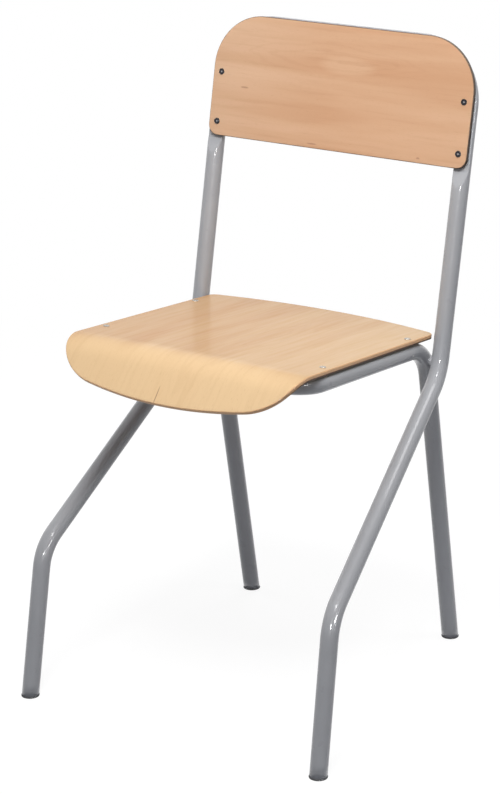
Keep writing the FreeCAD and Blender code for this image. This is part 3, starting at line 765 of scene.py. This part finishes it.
seatShape = {
    "halfWidth": 165.1,
    "thickness": 6.5,
    "flatLength": 329.5,
    "bendRadius": 42.0,  # underside
    "bendAngle": 51.5,  # degrees
    "apron": 42.0,
    "frontArc": 543.0,
    "frontCorner": 70.5,
    "rearArc": 556.0,
    "rearCorner": 13.5,
    "arris": 1.3,
    "middle": 120.0,  # behind the bend
    "rings": 66,
    "firstRing": 0.03,
    "rearPoints": (20, 70),  # in a corner arc and in the end arc
    "frontPoints": (60, 90),
    "sidePoints": 60,
    "sideLap": 1.0,  # corner points nearer than this to the bend's start are left out
}
seatBend = math.radians(seatShape["bendAngle"])
seatMidRadius = seatShape["bendRadius"] + seatShape["thickness"] / 2


def seatEnd(reach, arc, corner, cornerPoints, arcPointCount):
    # right half to left half of one end: corner arc, shallow end arc, corner arc, all tangent
    arcY = reach - arc
    cornerX = seatShape["halfWidth"] - corner
    cornerY = arcY + math.sqrt((arc - corner) ** 2 - cornerX ** 2)
    meet = math.degrees(math.atan2(cornerY - arcY, cornerX))
    return np.concatenate([
        arcPoints((cornerX, cornerY), corner, 0, meet, cornerPoints),
        arcPoints((0, arcY), arc, meet, 180 - meet, arcPointCount)[1:-1],
        arcPoints((-cornerX, cornerY), corner, 180 - meet, 180, cornerPoints),
    ])


def seatOutline():
    # outline on the unrolled mid-surface; the front is cut square to the apron, so in the bend the
    # length along the board is the mid radius times the arcsine of the reach
    shape = seatShape
    rear = seatEnd(shape["flatLength"], shape["rearArc"], shape["rearCorner"], *shape["rearPoints"])
    front = seatEnd(shape["apron"], shape["frontArc"], shape["frontCorner"], *shape["frontPoints"])
    bendReach = seatMidRadius * math.sin(seatBend)
    front = front[front[:, 1] > shape["sideLap"] - bendReach]
    before = np.clip(-front[:, 1], 0, bendReach)
    bent = np.where(front[:, 1] > 0, -front[:, 1], seatMidRadius * np.arcsin(before / seatMidRadius))
    front = np.stack([front[:, 0], bent - seatMidRadius * seatBend], axis=-1)[::-1]
    left = between(rear[-1], front[0], shape["sidePoints"])
    right = between(front[-1], rear[0], shape["sidePoints"])
    return np.concatenate([rear, left, front, right])


def seatPlaced(flat, height):
    # unrolled board to the bent one: flat behind the bend, round it at the mid radius plus the height,
    # straight down the apron
    run = flat[:, 1]
    turn = np.clip(-run / seatMidRadius, 0, seatBend)
    radius = seatMidRadius + height
    straight = np.maximum(-run - seatMidRadius * seatBend, 0)
    local = np.stack([
        flat[:, 0],
        np.maximum(run, 0) - radius * np.sin(turn) - straight * np.cos(turn),
        radius * np.cos(turn) - seatShape["bendRadius"] - straight * np.sin(turn),
    ], axis=-1)
    return seatOrigin + local @ seatTurn.T


backMiddle = np.array([0.0, (backShape["top"] + backShape["bottom"]) / 2])
backPanel = panelPiece(
    "backrest_panel", backShape, backOutline(), backMiddle, backPlaced, 0, backVeneer
)
seatMiddle = np.array([0.0, seatShape["middle"]])
seatPanel = panelPiece("seat_panel", seatShape, seatOutline(), seatMiddle, seatPlaced, 1, seatVeneer)
print("panels pressed:", len(backPanel.data.polygons), "and", len(seatPanel.data.polygons), "faces")


# rivets and foot plugs

offAxis = (0.3, 0.9, 0.1)  # a direction that no rivet or leg points in


def turnedRings(profile, origin, axis, columns):
    # profile of (radius, height) spun about the axis: origin + height axis + radius (across cos a +
    # beside sin a)
    across = unit(np.cross(axis, offAxis))
    beside = np.cross(axis, across)
    angle = np.linspace(0, 2 * math.pi, columns, endpoint=False)[None, :, None]
    radius, height = np.asarray(profile, float).T[:, :, None, None]
    return origin + axis * height + (across * np.cos(angle) + beside * np.sin(angle)) * radius


rivetShape = {
    "columns": 40,
    "grip": {"seat": 8.1, "back": 7.1},
    "shank": 2.0,
    "head": 4.0,
    "headSoft": 0.15,
    "rim": 0.45,
    "crown": 2.0,
    "height": 1.4,
    "domeTurn": 84.0,  # degrees of the dome's quarter ellipse
    "domePoints": 10,
    "bore": 1.15,
    "boreSoft": 0.25,
    "bulb": 2.8,
    "bulbDrop": 2.0,  # below the grip
    "bulbLength": 3.0,
    "bulbTaper": 0.4,
    "bulbSoft": 0.3,
    "stem": 1.1,
    "stemHead": 1.85,
    "stemHeadLength": 2.0,
    "stemHeadSoft": 0.3,
    "stemShoulder": 0.02,
    "recess": 0.5,
    "brokenEnd": ((1.1, -0.15), (0.98, 0.0), (0.55, -0.08), (0.4, 0.12)),  # radius, over the recess
    "brokenTip": 0.22,
    "metal": {"seat": "brightAluminium", "back": "dullAluminium"},
    "stemMetal": {"seat": "dullSteel", "back": "brightSteel"},
}


def rivetProfiles(panel):
    # sleeve: clenched bulb, shank, domed head from rim to crown as a quarter ellipse, bore;
    # stem: head under the bulb, shaft, broken top
    shape = rivetShape
    bore, bulb, shank, head = shape["bore"], shape["bulb"], shape["shank"], shape["head"]
    height, boreSoft = shape["height"], shape["boreSoft"]
    grip = shape["grip"][panel] + shape["bulbDrop"]
    blind = -grip - shape["bulbLength"]
    turn = np.radians(np.linspace(0, shape["domeTurn"], shape["domePoints"]))
    domeRadius = shape["crown"] + (head - shape["crown"]) * np.cos(turn)
    domeHeight = shape["rim"] + (height - shape["rim"]) * np.sin(turn)
    sleeve = [
        (bore, blind),
        (bulb - shape["bulbSoft"], blind),
        (bulb, blind + shape["bulbSoft"]),
        (bulb, -grip - shape["bulbTaper"]),
        (shank, -grip),
        (shank, 0.0),
        (head - shape["headSoft"], 0.0),
        (head, shape["headSoft"]),
        *zip(domeRadius, domeHeight),
        (bore + boreSoft, height),
        (bore, height - boreSoft),
    ]
    top, bottom = height - shape["recess"], blind - shape["stemHeadLength"]
    stem = [
        (shape["stemHead"] - shape["stemHeadSoft"], bottom),
        (shape["stemHead"], bottom + shape["stemHeadSoft"]),
        (shape["stemHead"], blind - shape["stemShoulder"]),
        (shape["stem"], blind),
        *((radius, top + over) for radius, over in shape["brokenEnd"]),
    ]
    return sleeve, stem, (top + shape["brokenTip"], bottom)


def rivetPair(node, origin, axis):
    panel, columns = node.split("_")[0], rivetShape["columns"]
    sleeve, stem, stemEnds = rivetProfiles(panel)
    rings = turnedRings(sleeve, origin, axis, columns)
    shellPiece(node, rings, metals[rivetShape["metal"][panel]])
    rings = turnedRings(stem[::-1], origin, axis, columns)
    poles = [origin + axis * end for end in stemEnds]
    stemMetal = metals[rivetShape["stemMetal"][panel]]
    shellPiece(node + "_mandrel", rings, stemMetal, poles)


rivetStations = {
    "seat": {"front": (153.7, 46.0), "rear": (155.7, 250.6)},  # across and along the seat
    "back": {"low": (175.7, 276.5), "high": (175.7, 340.3)},  # across and along the upright
}
backFront = backShape["backFace"] + backShape["thickness"]
for side, mirror in sides.items():
    for station, (across, along) in rivetStations["seat"].items():
        local = np.array([across, along, seatShape["thickness"]]) * mirror
        axis = seatTurn @ np.array([0.0, 0.0, 1.0])
        rivetPair(f"seat_rivet_{station}_{side}", seatOrigin + seatTurn @ local, axis)
    for station, (across, along) in rivetStations["back"].items():
        local = np.array([across, -backFront, along]) * mirror
        axis = backTurn @ np.array([0.0, -1.0, 0.0])
        rivetPair(f"back_rivet_{station}_{side}", backOrigin + backTurn @ local, axis)

plugShape = {
    "columns": 56,
    "radius": 11.5,
    "soft": 0.5,
    "eased": 0.15,  # half-way point of the softened edge
    "stem": 8.6,
    "rib": 9.4,
    "ribs": 3,
    "ribPitch": 6.0,
    "ribWidth": 2.0,
    "stemLength": 24.0,
    "wall": 2.0,
    "innerShare": 0.5,  # radius of the rings next to the poles
}


def plugPiece(node, foot, above):
    # spun about the tube's axis; the flange's rings slide along it to the floor and to the tube's
    # level end
    axis, top = unit(above - foot), tubeShape["endLevel"]
    radius, stem, rib = plugShape["radius"], plugShape["stem"], plugShape["rib"]
    soft, eased, inner = plugShape["soft"], plugShape["eased"], plugShape["innerShare"]
    flange = [
        (radius * inner, 0.0),
        (radius - soft, 0.0),
        (radius - eased, eased),
        (radius, soft),
        (radius, top - soft),
        (radius - eased, top - eased),
        (radius - soft, top),
        (stem, top),
    ]
    shaft = []
    for number in range(1, plugShape["ribs"] + 1):
        low = number * plugShape["ribPitch"]
        high = low + plugShape["ribWidth"]
        shaft += [(stem, low), (rib, low), (rib, high), (stem, high)]
    length, inside, bottom = plugShape["stemLength"], stem - plugShape["wall"], top + plugShape["wall"]
    shaft += [(stem, length), (inside, length), (inside, bottom), (inside * inner, bottom)]
    levels = np.array([height for _, height in flange])[:, None]
    flangeRings = turnedRings(flange, foot, axis, plugShape["columns"])
    shaftRings = turnedRings(shaft, foot, axis, plugShape["columns"])
    rings = np.concatenate([levelled(flangeRings, axis, levels), shaftRings])
    shellPiece(node, rings, plugPlastic, [foot, foot + axis * bottom])


for side, mirror in sides.items():
    plugPiece(f"front_foot_plug_{side}", frontFoot * mirror, knee * mirror)
    plugPiece(f"rear_foot_plug_{side}", rearFoot * mirror, railRear * mirror)
print("rivets and plugs set")


# welds

weldShape = {
    "rows": 26,
    "columns": 48,
    "half": (6.0, 6.4, 6.4),
    "ripples": 11,
    "ripple": 0.035,
}


def weldPiece(node):
    # ellipsoid bead between the tubes, rippled round the joint like a laid weld: centre + half (cos p,
    # r sin p cos a, r sin p sin a), where r = 1 + ripple sin(ripples a) sin p
    low, high = (np.array(corner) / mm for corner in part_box(node))
    centre, half = (low + high) / 2, np.array(weldShape["half"])
    polar = np.linspace(0, math.pi, weldShape["rows"] + 2)[1:-1, None]
    around = np.linspace(0, 2 * math.pi, weldShape["columns"], endpoint=False)[None, :]
    ripple = 1 + weldShape["ripple"] * np.sin(weldShape["ripples"] * around) * np.sin(polar)
    reach = np.sin(polar) * ripple
    way = [np.cos(polar) * np.ones_like(around), reach * np.cos(around), reach * np.sin(around)]
    pole = np.array([half[0], 0.0, 0.0])
    rings = centre + np.stack(way, axis=-1) * half
    shellPiece(node, rings, greyPaint, [centre + pole, centre - pole])


for side in sides:
    weldPiece(f"weld_{side}")
print("welds laid")


# floor, light and camera

studio = {
    "white": (1, 1, 1, 1),
    "floorHalf": 6.0,
    "floorColour": (0.375, 0.390, 0.425, 1),
    "floorRoughness": 0.9,
    "floorShown": (1.5, 1.5, 1.5, 1),  # lit floor as it is seen
    "floorShare": 0.12,  # of the lit floor in what the camera sees
    "floorReach": (0.5, 1.6),  # metres from the middle over which the lit floor fades to plain white
    "skyTop": (0.38, 0.38, 0.39, 1),
    "skySide": (0.105, 0.108, 0.118, 1),
    "skyRise": (0.0, 0.8),  # upward share of a direction between side and top
}
lamps = {
    "overhead": {
        "place": (0.85, 0.20, 2.25), "aim": (0.19, 0.0, 0.45),
        "size": (0.34, 0.9), "power": 2.6, "spread": 120,
    },
}
fills = {  # not seen in glossy surfaces
    "key": {
        "place": (0.35, -0.95, 2.05), "aim": (0.05, 0.10, 0.74),
        "size": (0.7, 0.7), "power": 7.5, "spread": 84,
    },
    "left": {
        "place": (-1.9, 0.25, 1.2), "aim": (-0.1, -0.1, 0.4),
        "size": (0.8, 0.8), "power": 2.6, "spread": 150,
    },
    "rear": {
        "place": (-0.5, 2.60, 0.85), "aim": (0.0, 0.2, 0.5),
        "size": (1.8, 1.0), "power": 14.0, "spread": 150,
    },
}
glints = {  # seen in glossy surfaces only
    "frontGlint": {
        "place": (1.20, -2.30, 1.14), "aim": (0.0, -0.05, 0.28),
        "size": (0.36, 0.34), "power": 1.5, "spread": 36,
    },
    "rightGlint": {
        "place": (2.10, -0.90, 0.95), "aim": (0.0, -0.20, -0.13),
        "size": (0.60, 0.50), "power": 1.5, "spread": 22,
    },
    "highGlint": {
        "place": (0.95, -0.95, 2.00), "aim": (0.0, -0.10, 0.25),
        "size": (0.4, 0.4), "power": 0.8, "spread": 34,
    },
}
cameraView = {
    "place": (1.57286, -2.56664, 1.40402),
    "back": (0.49915, -0.80366, 0.32400),
    "focal": 2549.0,  # pixels
    "imageHeight": 794.0,
    "sensor": 36.0,
}


def seenRay(tree):
    # 1 for rays that show the surroundings: from the camera, mirrored or passed through
    path = addNode(tree, "ShaderNodeLightPath").outputs
    seen = calc(tree, "MAXIMUM", path["Is Camera Ray"], path["Is Glossy Ray"])
    return calc(tree, "MAXIMUM", seen, path["Is Transmission Ray"])


def addFloor():
    # level square: lights the chair with its own colour and is seen nearly white, with the shadow
    half = studio["floorHalf"]
    corners = [(-half, -half, 0), (half, -half, 0), (half, half, 0), (-half, half, 0)]
    mesh = bpy.data.meshes.new("floor")
    mesh.from_pydata(corners, [], [(0, 1, 2, 3)])
    floor = bpy.data.objects.new("floor", mesh)
    bpy.context.scene.collection.objects.link(floor)
    finish, tree, shader = newFinish("paleFloor")
    setEven(shader, Base_Color=studio["floorColour"], Roughness=studio["floorRoughness"])
    glow = addNode(tree, "ShaderNodeEmission", {"Color": studio["white"], "Strength": 1.0})
    lit = addNode(tree, "ShaderNodeBsdfDiffuse", {"Color": studio["floorShown"]})
    away = addNode(tree, "ShaderNodeVectorMath", {0: objectPlace(tree)}, operation="LENGTH")
    near = spread(tree, away.outputs["Value"], *studio["floorReach"], 1.0, 0.0)
    share = times(tree, near, studio["floorShare"])
    shown = addNode(tree, "ShaderNodeMixShader", {0: share, 1: glow.outputs[0], 2: lit.outputs[0]})
    inputs = {0: seenRay(tree), 1: shader.outputs[0], 2: shown.outputs[0]}
    both = addNode(tree, "ShaderNodeMixShader", inputs)
    tree.links.new(both.outputs[0], tree.nodes["Material Output"].inputs["Surface"])
    mesh.materials.append(finish)


def addWorld():
    # soft grey sky, seen white
    world = bpy.data.worlds.new("studio")
    world.use_nodes = True
    tree = world.node_tree
    way = addNode(tree, "ShaderNodeTexCoord").outputs["Generated"]
    up = addNode(tree, "ShaderNodeSeparateXYZ", {0: way}).outputs[2]
    sky = mixColour(tree, spread(tree, up, *studio["skyRise"]), studio["skySide"], studio["skyTop"])
    colour = mixColour(tree, seenRay(tree), sky, studio["white"])
    tree.links.new(colour, tree.nodes["Background"].inputs["Color"])
    bpy.context.scene.world = world


def stood(place, back):
    # matrix of a lamp or camera at a place, level from side to side, looking away from back
    back = unit(np.array(back))
    right = unit(np.cross([0.0, 0.0, 1.0], back))
    matrix = Matrix.Identity(4)
    for column, axis in enumerate((right, np.cross(back, right), back, place)):
        for row in range(3):
            matrix[row][column] = axis[row]
    return matrix


def addLamp(name, lamp, diffuse, glossy):
    light = bpy.data.lights.new(name, "AREA")
    light.shape = "RECTANGLE"
    light.size, light.size_y = lamp["size"]
    light.energy = lamp["power"]
    light.spread = math.radians(lamp["spread"])
    holder = bpy.data.objects.new(name, light)
    holder.visible_diffuse, holder.visible_glossy = diffuse, glossy
    holder.matrix_world = stood(lamp["place"], np.subtract(lamp["place"], lamp["aim"]))
    bpy.context.scene.collection.objects.link(holder)


def addCamera():
    lens = bpy.data.cameras.new("camera")
    lens.sensor_fit = "VERTICAL"
    lens.sensor_height = cameraView["sensor"]
    lens.lens = cameraView["focal"] / cameraView["imageHeight"] * cameraView["sensor"]
    camera = bpy.data.objects.new("camera", lens)
    camera.matrix_world = stood(cameraView["place"], cameraView["back"])
    bpy.context.scene.collection.objects.link(camera)
    bpy.context.scene.camera = camera


addFloor()
addWorld()
for group, diffuse, glossy in ((lamps, True, True), (fills, True, False), (glints, False, True)):
    for name, lamp in group.items():
        addLamp(name, lamp, diffuse, glossy)
addCamera()
bpy.context.scene.view_settings.view_transform = "Standard"
print("studio lit")
